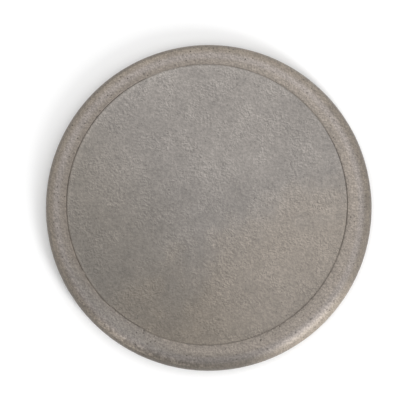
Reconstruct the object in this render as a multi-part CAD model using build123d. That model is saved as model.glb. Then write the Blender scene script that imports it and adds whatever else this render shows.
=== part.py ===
from build123d import *

import math
import os

# A round altar plate (paten): a hammered disc let into a cast, rounded rim, standing on a turned foot ring.
#
# Millimetres. +Z is up, and z = 0 is the surface that the plate stands on. The origin is under the rim's centre.
# The disc's seat isn't concentric with the rim: it was bored a little off centre, and SEAT_CENTRE says by how much.
# The rim is one long casting whose ends are closed with a short piece, brazed in.

# --- rim, about the plate's own axis ---
RIM_RADIUS = 80.0
RIM_TOP = 12.0  # the crest of the rim, the highest point of the plate
RIM_BOTTOM = 2.6
OUTER_TOP_ARC = 6.4  # radius of the rounding from the crest to the widest point
CREST_RADIUS = RIM_RADIUS - OUTER_TOP_ARC
WIDEST_HEIGHT = RIM_TOP - OUTER_TOP_ARC
OUTER_LOW_ARC = WIDEST_HEIGHT - RIM_BOTTOM  # radius of the rounding from the widest point to the underside
LEDGE_INNER_RADIUS = 64.0
LEDGE_TOP = 8.3

# --- seat of the disc, about the seat's own axis ---
SEAT_CENTRE = (-0.88, 1.56)
SEAT_RADIUS = 68.7
INNER_SLOPE_ARC = 9.0  # radius of the rounding from the crest down to the seam
INNER_SLOPE_WIDTH = 3.0
LIP_ROUNDING = 0.2
SEAM_GAP = 0.18  # the open seam between the disc's edge and the rim
CLOSING_PIECE_PROUD = 0.5  # the closing piece stands this much further in than the ring

# --- disc ---
DISC_THICKNESS = 2.0
SOLDER_FILM = 0.2
DISC_BOTTOM = LEDGE_TOP + SOLDER_FILM
WELL_FLOOR = DISC_BOTTOM + DISC_THICKNESS
EDGE_RISE = 0.5  # how far the disc's edge stands above its flat floor
EDGE_RISE_WIDTH = 8.0
EDGE_ROUNDING = 0.15

# --- solder ---
SOLDER_TOP = WELL_FLOOR - 0.5  # how far the solder fills the seam
SOLDER_FILM_WIDTH = 2.6
FOOT_SOLDER_LEG = 1.1

# --- foot ring, about the plate's own axis ---
FOOT_INNER_RADIUS = 44.0
FOOT_OUTER_RADIUS = 47.5
FOOT_GROOVE_DEPTH = 0.5  # how far the ring is let into the disc
FOOT_ROUNDING = 0.9

# --- the closing piece's two joints, as plan angles in degrees about the plate's axis ---
SQUARE_JOINT_ANGLE = -135.0
SCARF_ANGLES = (-117.5, -113.7, -108.3)  # where the curved scarf meets the seam, the crest and the outside
BRAZE_ANGLE = 0.12  # the angle that each film of braze fills, about 0.15 mm at the rim

CLEAR = 20.0  # how far cutting shapes reach past what they cut


def polar(radius, degrees):
    """The plan point at this radius and angle about the plate's axis."""
    return Vector(radius * math.cos(math.radians(degrees)), radius * math.sin(math.radians(degrees)))


def section(outline):
    """The face inside a closed outline that is drawn as (radius, height)."""
    return make_face(Plane.XZ * outline)


def turned(outline):
    """The solid that a closed outline, drawn as (radius, height), sweeps about the Z axis."""
    return revolve(section(outline), Axis.Z)


def about_seat(shape):
    """Moves a shape made about the Z axis on to the seat's axis."""
    return Pos(*SEAT_CENTRE, 0) * shape


# ---------------------------------------------------------------- rim


def rim_blank():
    """The rim's section, full to the crest's height inside, before the seat is bored."""
    low_radius = RIM_RADIUS - OUTER_LOW_ARC
    outline = (
        Line((LEDGE_INNER_RADIUS, RIM_BOTTOM), (low_radius, RIM_BOTTOM))
        + CenterArc((low_radius, WIDEST_HEIGHT), OUTER_LOW_ARC, 270, 90)
        + CenterArc((CREST_RADIUS, WIDEST_HEIGHT), OUTER_TOP_ARC, 0, 90)
        + Polyline((CREST_RADIUS, RIM_TOP), (LEDGE_INNER_RADIUS, RIM_TOP), (LEDGE_INNER_RADIUS, RIM_BOTTOM))
    )
    return turned(outline)


def seat_cutter(seat_radius):
    """What is bored out of the rim: the disc's seat, the seam's wall and the rounded slope up to the crest."""
    slope_end = seat_radius + INNER_SLOPE_WIDTH
    slope_centre = (slope_end, RIM_TOP - INNER_SLOPE_ARC)
    lip_height = slope_centre[1] + math.sqrt(INNER_SLOPE_ARC**2 - INNER_SLOPE_WIDTH**2)
    slope_angle = math.degrees(math.asin(INNER_SLOPE_WIDTH / INNER_SLOPE_ARC))
    outline = (
        Polyline((0, LEDGE_TOP), (seat_radius, LEDGE_TOP), (seat_radius, lip_height))
        + CenterArc(slope_centre, INNER_SLOPE_ARC, 90, slope_angle)
        + Polyline((slope_end, RIM_TOP), (slope_end, RIM_TOP + CLEAR), (0, RIM_TOP + CLEAR), (0, LEDGE_TOP))
    )
    face = section(outline)
    lip = face.vertices().sort_by_distance((seat_radius, 0, lip_height))[0]
    return about_seat(revolve(fillet(lip, LIP_ROUNDING), Axis.Z))


def whole_rim(seat_radius):
    """The rim as if it were one ring, with a seat of this radius."""
    return rim_blank() - seat_cutter(seat_radius)


def closing_sector(inset=0.0):
    """A tall prism round the closing piece. inset is the angle by which its two joint faces are moved in."""
    scarf_radii = (SEAT_RADIUS, CREST_RADIUS, RIM_RADIUS)
    scarf = [polar(radius, angle - inset) for radius, angle in zip(scarf_radii, SCARF_ANGLES)]
    inside = LEDGE_INNER_RADIUS - CLEAR
    outside = RIM_RADIUS + CLEAR
    middle_angle = (SQUARE_JOINT_ANGLE + SCARF_ANGLES[-1]) / 2
    outline = ThreePointArc(*scarf) + Polyline(
        scarf[-1],
        polar(outside, SCARF_ANGLES[-1] - inset),
        polar(outside + CLEAR, middle_angle),
        polar(outside, SQUARE_JOINT_ANGLE + inset),
        polar(inside, SQUARE_JOINT_ANGLE + inset),
        polar(inside, SCARF_ANGLES[0] - inset),
        scarf[0],
    )
    return extrude(make_face(outline), RIM_TOP + CLEAR)


def rim_ring():
    """The long casting, with a gap for the closing piece."""
    return whole_rim(SEAT_RADIUS) - closing_sector()


def filled_gap():
    """The closing piece and its braze as one solid, standing proud of the ring at the seam."""
    return whole_rim(SEAT_RADIUS - CLOSING_PIECE_PROUD) & closing_sector()


def rim_closing_piece():
    return filled_gap() & closing_sector(BRAZE_ANGLE)


def rim_joint_braze():
    """The two films of braze, one in each joint."""
    return filled_gap() - closing_sector(BRAZE_ANGLE)


# ---------------------------------------------------------------- disc


def well_disc():
    """The plate's floor: flat, rising a little to its edge, and filed back beside the closing piece."""
    edge_radius = SEAT_RADIUS - SEAM_GAP
    edge_top = WELL_FLOOR + EDGE_RISE
    flat_radius = edge_radius - EDGE_RISE_WIDTH
    rise_arc = (EDGE_RISE_WIDTH**2 + EDGE_RISE**2) / (2 * EDGE_RISE)
    rise_angle = math.degrees(math.asin(EDGE_RISE_WIDTH / rise_arc))
    outline = (
        Line((0, WELL_FLOOR), (flat_radius, WELL_FLOOR))
        + CenterArc((flat_radius, WELL_FLOOR + rise_arc), rise_arc, 270, rise_angle)
        + Polyline((edge_radius, edge_top), (edge_radius, DISC_BOTTOM), (0, DISC_BOTTOM), (0, WELL_FLOOR))
    )
    face = section(outline)
    corner = face.vertices().sort_by_distance((edge_radius, 0, edge_top))[0]
    disc = about_seat(revolve(fillet(corner, EDGE_ROUNDING), Axis.Z))
    left_after_filing = about_seat(Cylinder(edge_radius - CLOSING_PIECE_PROUD, 2 * CLEAR))
    return disc - (closing_sector() - left_after_filing) - foot_ring()


# ---------------------------------------------------------------- solder and foot


def seat_solder(seat_radius):
    """The solder for a seat of this radius: a film on the ledge and a wall in the bottom of the seam."""
    disc_edge = seat_radius - SEAM_GAP
    film_edge = seat_radius - SOLDER_FILM_WIDTH
    outline = Polyline(
        (film_edge, LEDGE_TOP),
        (seat_radius, LEDGE_TOP),
        (seat_radius, SOLDER_TOP),
        (disc_edge, SOLDER_TOP),
        (disc_edge, DISC_BOTTOM),
        (film_edge, DISC_BOTTOM),
        close=True,
    )
    return about_seat(turned(outline))


def seam_solder():
    """One ring of solder, stepped in beside the closing piece."""
    along_ring = seat_solder(SEAT_RADIUS) - closing_sector()
    along_closing_piece = seat_solder(SEAT_RADIUS - CLOSING_PIECE_PROUD) & closing_sector()
    return along_ring + along_closing_piece


def foot_ring():
    """The turned ring that the plate stands on, let into the underside of the disc."""
    top = DISC_BOTTOM + FOOT_GROOVE_DEPTH
    outline = Polyline(
        (FOOT_INNER_RADIUS, 0),
        (FOOT_OUTER_RADIUS, 0),
        (FOOT_OUTER_RADIUS, top),
        (FOOT_INNER_RADIUS, top),
        close=True,
    )
    face = section(outline)
    standing_corners = face.vertices().group_by(Axis.Z)[0]
    return revolve(fillet(standing_corners, FOOT_ROUNDING), Axis.Z)


def foot_solder():
    """A small fillet of solder under the disc, along each side of the foot ring."""
    fillets = []
    for wall, outward in ((FOOT_OUTER_RADIUS, FOOT_SOLDER_LEG), (FOOT_INNER_RADIUS, -FOOT_SOLDER_LEG)):
        outline = Polyline(
            (wall, DISC_BOTTOM),
            (wall + outward, DISC_BOTTOM),
            (wall, DISC_BOTTOM - FOOT_SOLDER_LEG),
            close=True,
        )
        fillets.append(turned(outline))
    return Compound(children=fillets)


# ---------------------------------------------------------------- the plate

NODES = {
    "well_disc": well_disc,
    "rim_ring": rim_ring,
    "rim_closing_piece": rim_closing_piece,
    "rim_joint_braze": rim_joint_braze,
    "seam_solder": seam_solder,
    "foot_ring": foot_ring,
    "foot_solder": foot_solder,
}

os.makedirs("parts", exist_ok=True)
for node, make in NODES.items():
    export_step(make(), f"parts/{node}.step")
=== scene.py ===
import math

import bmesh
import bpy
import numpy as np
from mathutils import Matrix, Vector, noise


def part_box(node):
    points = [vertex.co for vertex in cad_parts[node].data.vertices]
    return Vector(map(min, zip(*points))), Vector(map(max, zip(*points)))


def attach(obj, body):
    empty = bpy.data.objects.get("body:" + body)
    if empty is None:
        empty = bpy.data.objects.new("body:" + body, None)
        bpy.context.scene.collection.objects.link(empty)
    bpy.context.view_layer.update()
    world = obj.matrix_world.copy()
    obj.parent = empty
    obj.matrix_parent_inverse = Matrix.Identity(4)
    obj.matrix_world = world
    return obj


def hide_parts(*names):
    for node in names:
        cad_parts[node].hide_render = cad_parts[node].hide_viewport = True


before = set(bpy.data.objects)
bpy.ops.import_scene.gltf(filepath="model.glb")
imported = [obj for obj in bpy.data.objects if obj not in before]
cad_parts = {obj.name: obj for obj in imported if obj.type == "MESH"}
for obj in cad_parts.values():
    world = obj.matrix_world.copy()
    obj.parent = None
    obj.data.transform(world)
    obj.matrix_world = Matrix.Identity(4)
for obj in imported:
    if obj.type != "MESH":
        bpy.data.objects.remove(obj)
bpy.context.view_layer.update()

# A paten in aged pewter on a white floor, seen from straight above.
# Lengths are in metres, and in millimetres inside the materials. Plan angles are in degrees, anticlockwise from
# +X about the plate's own axis, which is the Z axis. The seat of its disc is a little off that axis.
# Each worked surface is a fine mesh in the CAD shape, sunk by small depths for its relief.

MM = 0.001
FULL_TURN = 360.0

# ---------------------------------------------------------------- sizes

rim_low, rim_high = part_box("rim_ring")
disc_low, disc_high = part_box("well_disc")
solder_low, solder_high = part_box("seam_solder")
foot_low, foot_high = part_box("foot_ring")

RIM_RADIUS = (rim_high.x - rim_low.x) / 2
RIM_TOP = rim_high.z
RIM_BOTTOM = rim_low.z
SEAT_CENTRE = ((disc_low + disc_high) / 2).xy
SEAT_RADIUS = (solder_high.x - solder_low.x) / 2
DISC_RADIUS = (disc_high.x - disc_low.x) / 2
DISC_BOTTOM = disc_low.z
LEDGE_TOP = solder_low.z
SOLDER_TOP = solder_high.z
FOOT_OUTER_RADIUS = (foot_high.x - foot_low.x) / 2
FOOT_TOP = foot_high.z

# The rest of the sections, as in the CAD model.
OUTER_TOP_ARC = 6.4 * MM
CREST_RADIUS = RIM_RADIUS - OUTER_TOP_ARC
WIDEST_HEIGHT = RIM_TOP - OUTER_TOP_ARC
OUTER_LOW_ARC = WIDEST_HEIGHT - RIM_BOTTOM
LEDGE_INNER_RADIUS = 64 * MM
INNER_SLOPE_ARC = 9 * MM
INNER_SLOPE_WIDTH = 3 * MM
LIP_ROUNDING = 0.2 * MM
CLOSING_PIECE_PROUD = 0.5 * MM
FLOOR_ABOVE_SOLDER = 0.5 * MM
WELL_FLOOR = SOLDER_TOP + FLOOR_ABOVE_SOLDER
EDGE_RISE = 0.5 * MM
EDGE_RISE_WIDTH = 8 * MM
EDGE_ROUNDING = 0.15 * MM
SOLDER_FILM_WIDTH = 2.6 * MM
FOOT_INNER_RADIUS = 44 * MM

# The closing piece's two joints, as plan angles at the seam, at the crest and on the outside.
JOINT_RADII = (SEAT_RADIUS, CREST_RADIUS, RIM_RADIUS)
SCARF = np.array((-117.5, -113.7, -108.3))
SQUARE = np.array((-135.0, -135.0, -135.0))
BRAZE_ANGLE = 0.12
BRAZE_SINK = 0.03 * MM  # how far the braze lies below the rim beside it

# How high the solder stands in the seam, above its height in the CAD model.
FILL_RISE = 0.66 * MM
FILL_CHANGE = 0.37 * MM
FILL_LEAST, FILL_MOST = 0.2 * MM, 0.95 * MM
# Where it is fuller or emptier: (middle angle, half width, how far each end fades, share of FILL_CHANGE).
FILL_CHANGES = (
    (-104, 12.8, 0.8, 1), (-84, 8, 14, 1), (-45, 22, 15, 0.45), (-152.6, 0.4, 0.5, 1),
    (102, 10, 9, 1), (60, 22, 12, 0.45), (146, 22, 14, -0.5), (170, 10, 14, -0.3),
)

# Noise round the plate: (swing, size of the features on a circle of radius 1, seed).
RIM_WAVER = (0.06 * MM, 0.12, 41)
DISC_WAVER = (0.05 * MM, 0.1, 43)
FILL_UNEVENNESS = (0.1 * MM, 0.05, 47)

# ---------------------------------------------------------------- mesh fineness

RIM_CELL = 0.37 * MM
SLOPE_STEPS = 11
CREST_STEPS = 6
OUTER_TOP_STEPS = 22
OUTER_LOW_STEPS = 8
LIP_SHARES = np.array((0.25, 0.5, 0.75))  # where points lie along the curve that rounds the lip
DISC_RINGS = 170
DISC_SECTORS = 6
SOLDER_STATIONS = 1440
SHARP_ANGLE = 50

# ---------------------------------------------------------------- relief, as depths below the CAD surface

# Layers of noise: (size of the features, depth, seed).
RIM_LAYERS = (
    (17 * MM, 0.10 * MM, 3),  # a slow roll
    (4.5 * MM, 0.035 * MM, 7),  # faint flats
    (1.2 * MM, 0.018 * MM, 11),  # a fine cast grain
)

# Single noises: (size of the features, seed), with the levels where some of them start and are full.
HAMMER_MARKS, HAMMER_LEVELS = (2.8 * MM, 19), (-0.15, 0.4)
DENTS = (13 * MM, 23)
PATCHES, PATCH_LEVELS = (11 * MM, 29), (-0.35, 0.4)
WORMS = (2.1 * MM, 31)
PEBBLES = (1.3 * MM, 37)

HAMMER_DEPTH = 0.26 * MM
HAMMERED_ARC = (-123, 11, 6)  # middle angle, half width, how far each end fades
HAMMERED_INNER = (72.5 * MM, 75 * MM)  # the radii where the marks start and are full
HAMMERED_OUTER = (78.5 * MM, 79.6 * MM)  # the radii where they start to fade and are gone
DENT_DEPTH = 0.12 * MM
WORM_DEPTH = 0.025 * MM
PATCH_WORM_DEPTH = 0.075 * MM  # how much deeper the worm-like ridges are in a patch
PEBBLE_DEPTH = 0.03 * MM


def noise_at(points, size, seed):
    """Smooth noise from about -1 to 1 at each point, with features of about this size."""
    offset = Vector((seed, 2 * seed, 3 * seed))
    return np.array([noise.noise(Vector(point) / size + offset) for point in points])


def bumps_at(points, size, seed):
    """The same noise, from about 0 to 1."""
    return 0.5 + 0.5 * noise_at(points, size, seed)


def smoothstep(low, high, values):
    """0 below low, 1 above high and smooth between."""
    share = np.clip((values - low) / (high - low), 0, 1)
    return share * share * (3 - 2 * share)


def angle_window(angles, middle, half_width, edge):
    """1 within half_width degrees of middle, fading to 0 over edge degrees more."""
    away = np.abs((angles - middle + FULL_TURN / 2) % FULL_TURN - FULL_TURN / 2)
    return 1 - smoothstep(half_width, half_width + edge, away)


def rim_depth(points):
    """The cast rim, rubbed down by hand."""
    return sum(depth * bumps_at(points, size, seed) for size, depth, seed in RIM_LAYERS)


def hammered_depth(points):
    """Hammer marks along the outer slope of the closing piece, fading out past its two joints."""
    radii = np.hypot(points[:, 0], points[:, 1])
    angles = np.degrees(np.arctan2(points[:, 1], points[:, 0]))
    on_slope = smoothstep(*HAMMERED_INNER, radii) * (1 - smoothstep(*HAMMERED_OUTER, radii))
    marks = smoothstep(*HAMMER_LEVELS, noise_at(points, *HAMMER_MARKS))
    return HAMMER_DEPTH * marks * on_slope * angle_window(angles, *HAMMERED_ARC)


def well_depth(points):
    """The hammered, etched disc: broad shallow dents and a skin of worm-like ridges, rougher in patches."""
    dents = DENT_DEPTH * bumps_at(points, *DENTS)
    patches = smoothstep(*PATCH_LEVELS, noise_at(points, *PATCHES))
    worms = (WORM_DEPTH + PATCH_WORM_DEPTH * patches) * np.abs(noise_at(points, *WORMS))
    pebbles = PEBBLE_DEPTH * patches * bumps_at(points, *PEBBLES)
    return dents + worms + pebbles


# ---------------------------------------------------------------- plan shapes


def round_points(radii, radians, heights):
    """Points at these distances from the plate's axis, these plan angles and these heights."""
    return np.stack(np.broadcast_arrays(radii * np.cos(radians), radii * np.sin(radians), heights), -1)


def round_noise(radians, swing, size, seed):
    """Noise from about -swing to swing at these plan angles."""
    return swing * noise_at(round_points(1, radians, 0), size, seed)


def seat_distance(angles, seat_radius):
    """How far the seat's circle is from the plate's axis, at these plan angles."""
    radians = np.radians(angles)
    along = SEAT_CENTRE.x * np.cos(radians) + SEAT_CENTRE.y * np.sin(radians)
    return along + np.sqrt(seat_radius**2 - SEAT_CENTRE.length_squared + along**2)


def proud_at(angles):
    """How far the rim's edge stands in past the ring's own seat, at these plan angles."""
    beside_closing_piece = (angles > SQUARE[0]) & (angles < SCARF[0])
    return CLOSING_PIECE_PROUD * beside_closing_piece


# ---------------------------------------------------------------- pieces


def new_piece(name, vertices, faces, material, node):
    """A mesh object that stands for a CAD node and rides on the plate."""
    mesh = bpy.data.meshes.new(name)
    mesh.from_pydata(np.asarray(vertices).tolist(), [], faces)
    shell = bmesh.new()
    shell.from_mesh(mesh)
    bmesh.ops.recalc_face_normals(shell, faces=shell.faces)
    shell.to_mesh(mesh)
    shell.free()
    mesh.shade_smooth()
    mesh.set_sharp_from_angle(angle=math.radians(SHARP_ANGLE))
    mesh.materials.append(material)
    piece = bpy.data.objects.new(name, mesh)
    bpy.context.scene.collection.objects.link(piece)
    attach(piece, "root")
    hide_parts(node)


def strip_faces(index):
    """Quads between the rows of an index grid whose columns go all the way round."""
    here, there = index[:-1], index[1:]
    return np.stack((here, np.roll(here, -1, 1), np.roll(there, -1, 1), there), -1).reshape(-1, 4).tolist()


def arc_points(centre_radius, centre_height, radius, start, end, steps):
    """The radii and the heights of evenly spaced points on an arc of a section."""
    angles = np.radians(np.linspace(start, end, steps + 1))
    return centre_radius + radius * np.cos(angles), centre_height + radius * np.sin(angles)


def rim_section():
    """The rim's section in four rows: share of the seat's distance, further radius, height, how far worked.

    It runs from the ledge up the seam, over the crest, round the outside and back along the underside.
    """
    rows = []

    def add(seat_share, radii, heights, worked=1.0):
        count = len(radii)
        rows.extend(zip([seat_share] * count, radii, heights, np.broadcast_to(worked, count)))

    slope_angle = math.degrees(math.asin(INNER_SLOPE_WIDTH / INNER_SLOPE_ARC))
    slope_radii, slope_heights = arc_points(
        INNER_SLOPE_WIDTH, RIM_TOP - INNER_SLOPE_ARC, INNER_SLOPE_ARC, 90 + slope_angle, 90, SLOPE_STEPS)
    lip_height = slope_heights[0]
    lip_start = lip_height - LIP_ROUNDING
    left = 1 - LIP_SHARES
    lip_heights = left**2 * lip_start + 2 * LIP_SHARES * left * lip_height
    lip_heights += LIP_SHARES**2 * slope_heights[1]

    add(0, (LEDGE_INNER_RADIUS, LEDGE_INNER_RADIUS), (RIM_BOTTOM, LEDGE_TOP), 0)
    add(1, (0, 0), (LEDGE_TOP, lip_start), 0)
    add(1, LIP_SHARES**2 * slope_radii[1], lip_heights)
    add(1, slope_radii[1:], slope_heights[1:])
    for share in np.linspace(0, 1, CREST_STEPS + 1)[1:-1]:
        add(1 - share, ((1 - share) * INNER_SLOPE_WIDTH + share * CREST_RADIUS,), (RIM_TOP,))
    add(0, *arc_points(CREST_RADIUS, WIDEST_HEIGHT, OUTER_TOP_ARC, 90, 0, OUTER_TOP_STEPS))
    low_radii, low_heights = arc_points(
        RIM_RADIUS - OUTER_LOW_ARC, WIDEST_HEIGHT, OUTER_LOW_ARC, 0, -90, OUTER_LOW_STEPS)
    add(0, low_radii[1:], low_heights[1:], np.linspace(1, 0, OUTER_LOW_STEPS))
    return np.array(rows, float).T


def rim_length(name, node, first_joint, last_joint, seat_radius, sink, material, slot_name):
    """A length of rim between two joints, sunk by sink all over its worked surface."""
    seat_share, further, height, worked = rim_section()
    nominal_radii = seat_share * seat_radius + further
    start = np.interp(nominal_radii, JOINT_RADII, first_joint)
    end = np.interp(nominal_radii, JOINT_RADII, last_joint)
    stations = max(3, round(np.radians(np.max(end - start)) * RIM_RADIUS / RIM_CELL))
    angles = start + np.linspace(0, 1, stations)[:, None] * (end - start)
    radians = np.radians(angles)
    waver = round_noise(radians[:, 0], *RIM_WAVER)[:, None]
    radii = seat_share * (seat_distance(angles, seat_radius) + waver) + further
    heights = np.broadcast_to(height, radii.shape)

    smooth = round_points(radii, radians, heights).reshape(-1, 3)
    depth = worked * (rim_depth(smooth) + hammered_depth(smooth) + sink).reshape(radii.shape)
    radius_step = np.roll(radii, -1, 1) - np.roll(radii, 1, 1)
    height_step = np.roll(heights, -1, 1) - np.roll(heights, 1, 1)
    inwards = depth / np.hypot(radius_step, height_step)
    vertices = round_points(radii + inwards * height_step, radians, heights - inwards * radius_step)
    index = np.arange(radii.size).reshape(radii.shape)
    faces = strip_faces(index) + [index[0].tolist(), index[-1].tolist()]
    new_piece(name, vertices.reshape(-1, 3), faces, material, node)


def net_faces():
    """The triangles of an even net: a middle point, then rings of DISC_SECTORS points more each time."""
    faces = []
    ring_start, inner_start = 1, 0
    for ring in range(1, DISC_RINGS + 1):
        count = DISC_SECTORS * ring
        inner_count = max(count - DISC_SECTORS, 1)
        for sector in range(DISC_SECTORS):
            for step in range(ring):
                here = sector * ring + step
                inside = sector * (ring - 1) + step
                outer = ring_start + here
                next_outer = ring_start + (here + 1) % count
                inner = inner_start + inside % inner_count
                faces.append((outer, next_outer, inner))
                if step < ring - 1:
                    next_inner = inner_start + (inside + 1) % inner_count
                    faces.append((inner, next_outer, next_inner))
        ring_start, inner_start = ring_start + count, ring_start
    return faces


def well_piece(material):
    """The disc, with an even net on top, so that its relief is as fine in the middle as at the edge."""
    counts = DISC_SECTORS * np.arange(1, DISC_RINGS + 1)
    ring = np.repeat(np.arange(1, DISC_RINGS + 1), counts)
    turn = 2 * np.pi * np.concatenate([np.arange(count) / count for count in counts])
    edge_angles = np.degrees(np.arctan2(
        SEAT_CENTRE.y + DISC_RADIUS * np.sin(turn), SEAT_CENTRE.x + DISC_RADIUS * np.cos(turn)))
    edge = DISC_RADIUS - proud_at(edge_angles) + round_noise(turn, *DISC_WAVER)
    radii = edge * ring / DISC_RINGS

    rise_arc = (EDGE_RISE_WIDTH**2 + EDGE_RISE**2) / (2 * EDGE_RISE)
    up_the_rise = np.maximum(radii - (DISC_RADIUS - EDGE_RISE_WIDTH), 0)
    rise = rise_arc - np.sqrt(rise_arc**2 - up_the_rise**2)
    into_rounding = np.maximum(EDGE_ROUNDING - (edge - radii), 0)
    drop = EDGE_ROUNDING - np.sqrt(EDGE_ROUNDING**2 - into_rounding**2)
    top = round_points(radii, turn, WELL_FLOOR + rise - drop) + (*SEAT_CENTRE, 0)
    top = np.concatenate(([(*SEAT_CENTRE, WELL_FLOOR)], top))
    top[:, 2] -= well_depth(top)

    count = counts[-1]
    last_turn = turn[-count:]
    under = [
        top[-count:] * (1, 1, 0) + (0, 0, DISC_BOTTOM),
        round_points(FOOT_OUTER_RADIUS, last_turn, DISC_BOTTOM),
        round_points(FOOT_OUTER_RADIUS, last_turn, FOOT_TOP),
        round_points(FOOT_INNER_RADIUS, last_turn, FOOT_TOP),
        round_points(FOOT_INNER_RADIUS, last_turn, DISC_BOTTOM),
    ]
    index = len(top) - count + np.arange(count * (len(under) + 1)).reshape(-1, count)
    faces = net_faces() + strip_faces(index) + [index[-1].tolist()]
    new_piece("hammered_well", np.concatenate((top, *under)), faces, material, "well_disc")


def seam_solder_piece(material):
    """The solder under the disc's edge and up the seam, which it fills unevenly."""
    angles = np.linspace(-FULL_TURN / 2, FULL_TURN / 2, SOLDER_STATIONS, endpoint=False)
    radians = np.radians(angles)
    filled = sum(share * angle_window(angles, *stretch) for *stretch, share in FILL_CHANGES)
    rise = FILL_RISE + round_noise(radians, *FILL_UNEVENNESS) + FILL_CHANGE * filled
    fill_top = SOLDER_TOP + np.clip(rise, FILL_LEAST, FILL_MOST)
    wall = seat_distance(angles, SEAT_RADIUS) - proud_at(angles)
    disc_edge = wall - (SEAT_RADIUS - DISC_RADIUS)
    film_edge = wall - SOLDER_FILM_WIDTH
    section = (
        (film_edge, LEDGE_TOP), (wall, LEDGE_TOP), (wall, fill_top),
        (disc_edge, fill_top), (disc_edge, DISC_BOTTOM), (film_edge, DISC_BOTTOM),
    )
    rings = [round_points(radii, radians, heights) for radii, heights in section]
    index = np.arange(len(section) * SOLDER_STATIONS).reshape(len(section), -1)
    faces = strip_faces(np.concatenate((index, index[:1])))
    new_piece("seam_fill", np.concatenate(rings), faces, material, "seam_solder")


# ---------------------------------------------------------------- shader nodes

USUAL_NOISE = (0.3, 0.7)  # most of a noise texture lies between these
PIT_CORE = 0.45  # the share of a pit's radius inside which it is full


def node(tree, kind, inputs, **settings):
    """Adds a shader node. inputs maps a socket's name or number to a value or to the socket that feeds it."""
    made = tree.nodes.new("ShaderNode" + kind)
    for name, value in settings.items():
        setattr(made, name, value)
    for socket, value in inputs.items():
        if isinstance(value, bpy.types.NodeSocket):
            tree.links.new(value, made.inputs[socket])
        else:
            made.inputs[socket].default_value = value
    return made


def maths(tree, operation, a, b=0.0):
    """The result of a Math node on two values or sockets."""
    return node(tree, "Math", {0: a, 1: b}, operation=operation).outputs[0]


def product(tree, first, *others):
    """Multiplies any number of values or sockets."""
    for other in others:
        first = maths(tree, "MULTIPLY", first, other)
    return first


def noise_socket(tree, place, size_mm, detail=2.0, distortion=0.0, roughness=0.5):
    """Noise from 0 to 1 with features of about size_mm."""
    inputs = {"Vector": place, "Scale": 1 / size_mm, "Detail": detail, "Distortion": distortion,
              "Roughness": roughness}
    return node(tree, "TexNoise", inputs).outputs["Fac"]


def between(tree, value, low, high, to_low=0.0, to_high=1.0):
    """Maps low..high to to_low..to_high smoothly, and holds the ends."""
    inputs = {"Value": value, "From Min": low, "From Max": high, "To Min": to_low, "To Max": to_high}
    return node(tree, "MapRange", inputs, interpolation_type="SMOOTHSTEP").outputs["Result"]


def spread(tree, texture, to_low=0.0, to_high=1.0):
    """Maps the range in which most of a noise lies to to_low..to_high."""
    return between(tree, texture, *USUAL_NOISE, to_low, to_high)


def colour(red, green, blue):
    """An opaque colour."""
    return (red, green, blue, 1.0)


def mixed(tree, share, first, second, blend="MIX"):
    """Goes from the first colour to the second, or to the blend of both, as share goes from 0 to 1."""
    factor, colour_a, colour_b = 0, 6, 7  # the Mix node's sockets for colours
    inputs = {factor: share, colour_a: first, colour_b: second}
    return node(tree, "Mix", inputs, data_type="RGBA", blend_type=blend).outputs[2]


def tinted(tree, base, share, low, high):
    """Multiplies a colour by greys from low to high, as share goes from 0 to 1."""
    grey = mixed(tree, share, colour(low, low, low), colour(high, high, high))
    return mixed(tree, 1.0, base, grey, "MULTIPLY")


def varied(tree, base, texture, swing):
    """Darkens and lightens a colour by up to swing, as a noise goes down and up."""
    return tinted(tree, base, spread(tree, texture), 1 - swing, 1 + swing)


def stained(tree, base, share, strength, stain):
    """Covers a share of a colour with another one, up to strength."""
    return mixed(tree, product(tree, share, strength), base, stain)


def plan_distance(tree, place, centre=(0, 0)):
    """The distance in the plan, in millimetres, from an upright axis through centre."""
    flat = node(tree, "VectorMath", {0: place, 1: (1, 1, 0)}, operation="MULTIPLY").outputs[0]
    return node(tree, "VectorMath", {0: flat, 1: (*centre, 0)}, operation="DISTANCE").outputs["Value"]


def plan_lean(tree, place, degrees):
    """How far a point lies towards this plan angle, in millimetres from the plate's axis."""
    towards = (math.cos(math.radians(degrees)), math.sin(math.radians(degrees)), 0)
    return node(tree, "VectorMath", {0: place, 1: towards}, operation="DOT_PRODUCT").outputs["Value"]


def leaning(tree, place, degrees, start, full, to_low=0.0, to_high=1.0):
    """Goes from to_low to to_high between two distances towards a plan angle."""
    return between(tree, plan_lean(tree, place, degrees), start, full, to_low, to_high)


def pits(tree, place, spacing_mm, share, radius):
    """1 in scattered round pits and 0 elsewhere. share is how many of the cells have one."""
    cells = node(tree, "TexVoronoi", {"Vector": place, "Scale": 1 / spacing_mm, "Randomness": 1.0})
    drawn = node(tree, "SeparateColor", {"Color": cells.outputs["Color"]}).outputs[0]
    chosen = maths(tree, "LESS_THAN", drawn, share)
    near = between(tree, cells.outputs["Distance"], radius * PIT_CORE, radius, 1.0, 0.0)
    return product(tree, chosen, near)


def curls(tree, place, size_mm, width):
    """1 along thin worm-like lines and 0 between them."""
    field = noise_socket(tree, place, size_mm, detail=1.5, distortion=1.2)
    away = maths(tree, "ABSOLUTE", maths(tree, "SUBTRACT", field, 0.5))
    return between(tree, away, 0.0, width, 1.0, 0.0)


def start_material(name):
    """A new material, its shader, and the place on the object in millimetres."""
    material = bpy.data.materials.new(name)
    material.use_nodes = True
    tree = material.node_tree
    shader = tree.nodes["Principled BSDF"]
    coordinates = node(tree, "TexCoord", {}).outputs["Object"]
    place = node(tree, "Mapping", {"Vector": coordinates, "Scale": (1 / MM,) * 3}).outputs["Vector"]
    return material, tree, shader, place


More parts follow.
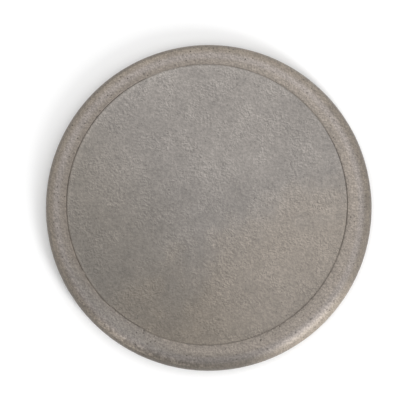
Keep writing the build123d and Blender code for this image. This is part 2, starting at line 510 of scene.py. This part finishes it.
def finish_shader(tree, shader, base, rough, height, depth_mm, metallic):
    """Links a colour, a roughness and a relief to the shader."""
    bump = node(tree, "Bump", {"Height": height, "Distance": depth_mm * MM, "Strength": 1.0})
    tree.links.new(base, shader.inputs["Base Color"])
    tree.links.new(rough, shader.inputs["Roughness"])
    tree.links.new(bump.outputs["Normal"], shader.inputs["Normal"])
    shader.inputs["Metallic"].default_value = metallic


# ---------------------------------------------------------------- materials, in millimetres

SEAT_AXIS = tuple(SEAT_CENTRE / MM)
DISC_GREY = colour(0.218, 0.200, 0.184)
DISC_WARM = colour(0.224, 0.196, 0.168)
DISC_SPECK = colour(0.075, 0.066, 0.058)
RIM_WARM = colour(0.222, 0.193, 0.166)
RIM_CREST = colour(0.242, 0.214, 0.194)
RIM_GREY = colour(0.212, 0.194, 0.177)
RIM_PORE = colour(0.10, 0.083, 0.068)
RIM_PINHOLE = colour(0.05, 0.04, 0.032)
SEAM_BROWN = colour(0.12, 0.096, 0.074)
DIRTY_SOLDER = (colour(0.09, 0.074, 0.06), colour(0.17, 0.147, 0.124))
CLEAN_SOLDER = (colour(0.24, 0.213, 0.188), colour(0.33, 0.295, 0.262))
FOOT_GREY = (colour(0.21, 0.19, 0.17), colour(0.29, 0.265, 0.24))
FOOT_RUBBED = colour(0.40, 0.375, 0.35)
FLOOR_WHITE = (colour(0.945, 0.945, 0.945), colour(0.955, 0.955, 0.955))
BROWNER = colour(1.02, 1.0, 0.95)  # a colour is multiplied by this to make it a little browner

EMBOSS_REACH = (0.17, 0.17, 0)  # from the middle of a little rise to its side that is painted lit
RUBBED_HEIGHTS = (10.65, 10.9)  # where the solder in the seam starts to be clean, and where it is
RUBBED_RADIUS = CREST_RADIUS / MM + 0.8  # the middle of the band of the rim that is palest, rubbed and with a painted sheen

# Tints of the disc, which paint light and shade, lighter towards plan angle 62 and darker towards -135: (plan
# angle, how far that way it starts and is full, factors at its start and when full).
WELL_TINTS = (
    (62, -70, 70, 0.78, 1.2),
    (-48, 5, 62, 1.0, 1.11),
    (-135, 5, 62, 1.0, 0.86),
    (0, 20, 62, 1.0, 0.92),
)

# Tints of the whole rim, given in the same way, which paint light and shade: darker towards plan angle -88,
# lighter towards 80 to 95.
RIM_TINTS = (
    (-88, 66, 77, 1.0, 0.88),
    (95, -80, 80, 0.86, 1.2),
    (80, 20, 80, 1.0, 1.1),
)

# Some of these tints paint light and shade, as the notes beside them say.
# Tints of part of the rim's section: (radii where it starts and is full, plan angle, how far that way it
# starts and is full, factor where full).
RIM_BAND_TINTS = (
    ((75.0, 76.8), 170, -40, 60, 1.12),  # paler along the flank, towards the left
    ((77.7, 78.8), 170, -40, 60, 0.72),  # darker along the outer edge beyond it, towards the left
    ((70.8, 72.4), -90, 64, 77, 0.7),  # painted shade from the inner slope outwards, towards -Y
    ((74.2, 75.6), 15, 66, 76, 0.88),  # painted shade on the flank, towards +X
    ((73.6, 75.2), -52, 70, 76, 1.5),  # a painted highlight on the flank, towards plan angle -52
    ((77.9, 79.0), 60, -50, 50, 0.8),  # darker along the outside, towards plan angle 60
)


def etched_height(tree, place):
    """The height of the disc's etched skin: worm-like ridges, small rings and pebbles, from about 0 to 1."""
    worms = curls(tree, place, 2.9, 0.05)
    outer, inner = (pits(tree, place, 4.0, 0.4, radius) for radius in (0.3, 0.2))
    lines = maths(tree, "ADD", worms, maths(tree, "SUBTRACT", outer, inner))
    pebbles = between(tree, noise_socket(tree, place, 1.25, detail=1.5), 0.35, 0.65)
    return maths(tree, "ADD", product(tree, lines, 0.55), product(tree, pebbles, 0.45))


def cast_height(tree, place):
    """The height of the rim's cast skin, from about 0 to 1."""
    return spread(tree, noise_socket(tree, place, 1.3, detail=1.5, roughness=0.6))


def painted_ridge_light(tree, place, height):
    """Painted light and shade on little rises: above 0.5 on the side painted lit, and below on the side painted
    shaded.
    """
    ahead = node(tree, "VectorMath", {0: place, 1: EMBOSS_REACH}, operation="ADD").outputs["Vector"]
    behind = node(tree, "VectorMath", {0: place, 1: EMBOSS_REACH}, operation="SUBTRACT").outputs["Vector"]
    fall = maths(tree, "SUBTRACT", height(tree, behind), height(tree, ahead))
    return between(tree, fall, -0.5, 0.5)


def seam_dirt_and_shade(tree, place, reach):
    """How much brown dirt and painted shade lies beside the seam, from 0 to 1: most towards the left, spreading
    this far.
    """
    from_seat = plan_distance(tree, place, SEAT_AXIS)
    away = maths(tree, "ABSOLUTE", maths(tree, "SUBTRACT", from_seat, SEAT_RADIUS / MM))
    by_side = leaning(tree, place, 165, -5, 60, 0.04, 0.85)
    return product(tree, between(tree, away, 0.2, reach, 1.0, 0.0), by_side)


def well_pewter():
    """Dull grey-taupe pewter, hammered and etched, warmer towards one side, with painted light and shade:
    lighter towards one side, darker towards another, and on the sides of its little rises.
    """
    material, tree, shader, place = start_material("well_pewter_skin")
    broad = noise_socket(tree, place, 24, detail=3)
    clouds = noise_socket(tree, place, 7, detail=4, distortion=0.6)
    mottle = noise_socket(tree, place, 2.4, detail=3)
    grain = noise_socket(tree, place, 1.0, detail=3, roughness=0.8)
    specks = pits(tree, place, 2.2, 0.3, 0.19)

    warm_side = maths(tree, "ADD", plan_lean(tree, place, -64), spread(tree, broad, -14.0, 14.0))
    base = mixed(tree, between(tree, warm_side, 0, 46), DISC_GREY, DISC_WARM)
    # Painted light and shade: lighter towards plan angle 62, darker towards -135.
    for degrees, start, full, low, high in WELL_TINTS:
        base = tinted(tree, base, leaning(tree, place, degrees, start, full), low, high)
    base = mixed(tree, leaning(tree, place, -145, 0, 50), base, BROWNER, "MULTIPLY")
    for texture, swing in ((broad, 0.06), (clouds, 0.05), (mottle, 0.08), (grain, 0.18)):
        base = varied(tree, base, texture, swing)

    rough_patches = between(tree, noise_socket(tree, place, 12, detail=2), 0.42, 0.6)
    strength = between(tree, rough_patches, 0, 1, 0.22, 0.5)
    # Painted light and shade: one side of each little rise in the etched skin lighter, the other darker.
    edges = product(tree, maths(tree, "SUBTRACT", painted_ridge_light(tree, place, etched_height), 0.5), strength)
    base = tinted(tree, base, maths(tree, "ADD", edges, 0.5), 0.5, 1.5)
    # Painted light on the disc's rising edge, towards plan angle 160.
    painted_lit_rise = product(
        tree, between(tree, plan_distance(tree, place, SEAT_AXIS), 65.5, 67.8),
        leaning(tree, place, 160, -40, 50, 0.3, 1.0), between(tree, clouds, 0.3, 0.5))
    base = tinted(tree, base, painted_lit_rise, 1.0, 1.14)
    # Brown dirt and painted shade beside the seam, heavier towards the left.
    base = stained(tree, base, seam_dirt_and_shade(tree, place, 1.1), 0.45, SEAM_BROWN)
    base = stained(tree, base, specks, 0.62, DISC_SPECK)

    worms = curls(tree, place, 3.4, 0.045)
    relief = maths(tree, "ADD", product(tree, worms, 0.35), product(tree, grain, 0.65))
    relief = maths(tree, "SUBTRACT", relief, product(tree, specks, 0.6))
    finish_shader(tree, shader, base, spread(tree, mottle, 0.52, 0.66), relief, 0.08, 0.15)
    return material


def rim_pewter():
    """Pewter as cast and then rubbed: warm, palest along the crest, which is worn and carries a painted sheen,
    and greyer round the closing piece; its tints paint light and shade as well.
    """
    material, tree, shader, place = start_material("rim_pewter_skin")
    broad = noise_socket(tree, place, 20, detail=3)
    mottle = noise_socket(tree, place, 3.0, detail=3)
    grain = noise_socket(tree, place, 0.8, detail=3, roughness=0.7)
    pitted = between(tree, noise_socket(tree, place, 9, detail=2), 0.38, 0.58)
    pinholes = product(tree, pits(tree, place, 1.9, 0.45, 0.27), pitted)
    pores = pits(tree, place, 1.1, 0.3, 0.3)
    from_axis = plan_distance(tree, place)

    # The crest band is paler: wear, and a painted sheen.
    from_rubbed = maths(tree, "ABSOLUTE", maths(tree, "SUBTRACT", from_axis, RUBBED_RADIUS))
    rubbed = between(tree, from_rubbed, 0.4, 2.4, 1.0, 0.0)
    base = mixed(tree, rubbed, RIM_WARM, RIM_CREST)
    grey = product(tree, leaning(tree, place, -130, 60, 73), between(tree, from_axis, 73.4, 75.2, 1.0, 0.0))
    base = stained(tree, base, grey, 0.7, RIM_GREY)
    base = mixed(tree, between(tree, from_axis, 75.6, 78.6), base, BROWNER, "MULTIPLY")
    # Painted light and shade: darker towards plan angle -88, lighter towards 80 to 95.
    for degrees, start, full, low, high in RIM_TINTS:
        base = tinted(tree, base, leaning(tree, place, degrees, start, full), low, high)
    for radii, degrees, start, full, factor in RIM_BAND_TINTS:
        band = product(tree, between(tree, from_axis, *radii), leaning(tree, place, degrees, start, full))
        base = tinted(tree, base, band, 1.0, factor)
    # Painted light and shade on the inner slope: lighter towards plan angle -42, darker all round.
    inner_slope = between(tree, from_axis, 72.5, 75.5, 1.0, 0.0)
    base = tinted(tree, base, product(tree, inner_slope, leaning(tree, place, -42, -74, 74)), 1.0, 1.44)
    base = tinted(tree, base, inner_slope, 1.0, 0.81)
    for texture, swing in ((broad, 0.05), (mottle, 0.1), (grain, 0.21)):
        base = varied(tree, base, texture, swing)
    # Painted light and shade: one side of each little rise in the cast skin lighter, the other darker.
    base = tinted(tree, base, painted_ridge_light(tree, place, cast_height), 0.85, 1.15)

    # Brown dirt and painted shade beside the seam, heavier towards the left.
    base = stained(tree, base, seam_dirt_and_shade(tree, place, 2.8), 0.4, SEAM_BROWN)
    # A painted highlight along the lip beside the seam, towards plan angle -110.
    painted_lip_highlight = product(
        tree, between(tree, plan_distance(tree, place, SEAT_AXIS), 69.0, 69.5, 1.0, 0.0),
        between(tree, mottle, 0.4, 0.6), leaning(tree, place, -110, 0, 40))
    base = tinted(tree, base, painted_lip_highlight, 1.0, 1.25)
    # Painted highlights on the hammer marks along the closing piece's outer slope.
    painted_mark_highlights = product(
        tree, between(tree, noise_socket(tree, place, 2.6, detail=1), 0.44, 0.56),
        leaning(tree, place, -114, 69, 75),
        between(tree, from_axis, 74.4, 75.6), between(tree, from_axis, 77.4, 78.4, 1.0, 0.0))
    base = tinted(tree, base, painted_mark_highlights, 1.0, 1.45)
    base = stained(tree, base, pores, 0.55, RIM_PORE)
    base = stained(tree, base, pinholes, 0.8, RIM_PINHOLE)

    relief = noise_socket(tree, place, 1.2, detail=1)
    relief = maths(tree, "SUBTRACT", relief, product(tree, pores, 0.3))
    relief = maths(tree, "SUBTRACT", relief, product(tree, pinholes, 0.6))
    finish_shader(tree, shader, base, spread(tree, mottle, 0.45, 0.56), relief, 0.09, 0.25)
    return material


def solder_metal():
    """Dull solder, dark with dirt down in the seam and rubbed nearly clean where it stands high."""
    material, tree, shader, place = start_material("dirty_solder")
    mottle = noise_socket(tree, place, 1.8, detail=3)
    grain = noise_socket(tree, place, 0.7, detail=2)
    height = node(tree, "SeparateXYZ", {"Vector": place}).outputs["Z"]
    dirty = mixed(tree, between(tree, mottle, 0.35, 0.65), *DIRTY_SOLDER)
    clean = mixed(tree, spread(tree, grain), *CLEAN_SOLDER)
    base = mixed(tree, between(tree, height, *RUBBED_HEIGHTS), dirty, clean)
    finish_shader(tree, shader, base, spread(tree, grain, 0.6, 0.8), grain, 0.06, 0.2)
    return material


def turned_pewter():
    """The foot: fine rings left by the lathe, rubbed brighter in places."""
    material, tree, shader, place = start_material("turned_pewter")
    rings = node(tree, "TexWave", {"Vector": place, "Scale": 0.9, "Distortion": 0.4, "Detail": 2.0},
                 wave_type="RINGS", rings_direction="Z").outputs["Fac"]
    mottle = noise_socket(tree, place, 5, detail=4)
    grain = noise_socket(tree, place, 0.5, detail=2)
    base = mixed(tree, between(tree, mottle, 0.35, 0.65), *FOOT_GREY)
    base = mixed(tree, between(tree, grain, 0.55, 0.75, 0.0, 0.3), base, FOOT_RUBBED)
    relief = maths(tree, "ADD", product(tree, rings, 0.7), product(tree, grain, 0.3))
    finish_shader(tree, shader, base, spread(tree, mottle, 0.34, 0.5), relief, 0.05, 0.6)
    return material


def floor_white():
    """Matt white with a trace of unevenness."""
    material, tree, shader, place = start_material("floor_white")
    mottle = noise_socket(tree, place, 60, detail=2)
    base = mixed(tree, mottle, *FLOOR_WHITE)
    tree.links.new(base, shader.inputs["Base Color"])
    shader.inputs["Roughness"].default_value = 0.9
    shader.inputs["Specular IOR Level"].default_value = 0.1
    return material


# ---------------------------------------------------------------- the studio

PLATE_SHARE_OF_FRAME = 0.7837
LENS = 0.200
SENSOR = 0.036
VIEW_CENTRE = Vector((-0.37 * MM, -0.05 * MM, 0))
NEAREST_SEEN = 0.01
FLOOR_HALF_WIDTH = 3.0
WORLD_STRENGTH = 0.4

# Area lights that face the plate: (name, plan angle, height angle, distance, width, height, watts).
LIGHTS = (
    ("overhead", 85, 74, 1.2, 2.28, 2.28, 16.8),
    ("side", 10, 42, 0.9, 0.4, 0.4, 0.3),
    ("glint", -51, 30, 0.9, 0.24, 0.5, 5.0),
)


def add_camera():
    """Straight above the plate, with the outline filling its share of the frame."""
    data = bpy.data.cameras.new("camera")
    data.lens = LENS / MM
    data.sensor_width = SENSOR / MM
    frame_width = 2 * RIM_RADIUS / PLATE_SHARE_OF_FRAME
    distance = frame_width * LENS / SENSOR
    data.clip_start = NEAREST_SEEN
    camera = bpy.data.objects.new("camera", data)
    camera.location = VIEW_CENTRE + Vector((0, 0, WIDEST_HEIGHT + distance))
    bpy.context.scene.collection.objects.link(camera)
    bpy.context.scene.camera = camera


def add_light(name, azimuth, elevation, distance, width, height, watts):
    """An oblong area light that faces the plate from a plan angle and a height angle."""
    data = bpy.data.lights.new(name, "AREA")
    data.shape = "RECTANGLE"
    data.size = width
    data.size_y = height
    data.energy = watts
    light = bpy.data.objects.new(name, data)
    plan, up = math.radians(azimuth), math.radians(elevation)
    towards = Vector((math.cos(plan) * math.cos(up), math.sin(plan) * math.cos(up), math.sin(up)))
    light.location = towards * distance
    light.rotation_euler = towards.to_track_quat("Z", "Y").to_euler()
    bpy.context.scene.collection.objects.link(light)


def add_studio():
    """An even white world, the lights and the floor."""
    world = bpy.data.worlds.new("studio")
    world.use_nodes = True
    background = world.node_tree.nodes["Background"]
    background.inputs["Color"].default_value = colour(1, 1, 1)
    background.inputs["Strength"].default_value = WORLD_STRENGTH
    bpy.context.scene.world = world
    bpy.context.scene.view_settings.view_transform = "Standard"
    for light in LIGHTS:
        add_light(*light)

    mesh = bpy.data.meshes.new("floor")
    half = FLOOR_HALF_WIDTH
    corners = [(-half, -half, 0), (half, -half, 0), (half, half, 0), (-half, half, 0)]
    mesh.from_pydata(corners, [], [(0, 1, 2, 3)])
    mesh.materials.append(floor_white())
    floor = bpy.data.objects.new("floor", mesh)
    bpy.context.scene.collection.objects.link(floor)


# ---------------------------------------------------------------- the plate


def add_plate():
    """The visual pieces, and the materials of the CAD nodes that have none."""
    rim_skin, well_skin, solder_skin = rim_pewter(), well_pewter(), solder_metal()
    piece_seat = SEAT_RADIUS - CLOSING_PIECE_PROUD
    rim, braze = (0, rim_skin, "rim_pewter"), (BRAZE_SINK, solder_skin, "solder")
    lengths = (
        ("cast_rim", "rim_ring", SCARF, SQUARE + FULL_TURN, SEAT_RADIUS, *rim),
        ("closing_piece", "rim_closing_piece", SQUARE + BRAZE_ANGLE, SCARF - BRAZE_ANGLE, piece_seat, *rim),
        ("square_braze", "rim_joint_braze", SQUARE, SQUARE + BRAZE_ANGLE, piece_seat, *braze),
        ("scarf_braze", "rim_joint_braze", SCARF - BRAZE_ANGLE, SCARF, piece_seat, *braze),
    )
    for length in lengths:
        rim_length(*length)
    well_piece(well_skin)
    seam_solder_piece(solder_skin)
    for name, skin in (("foot_solder", solder_skin), ("foot_ring", turned_pewter())):
        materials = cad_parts[name].data.materials
        materials.clear()
        materials.append(skin)


add_camera()
add_studio()
add_plate()
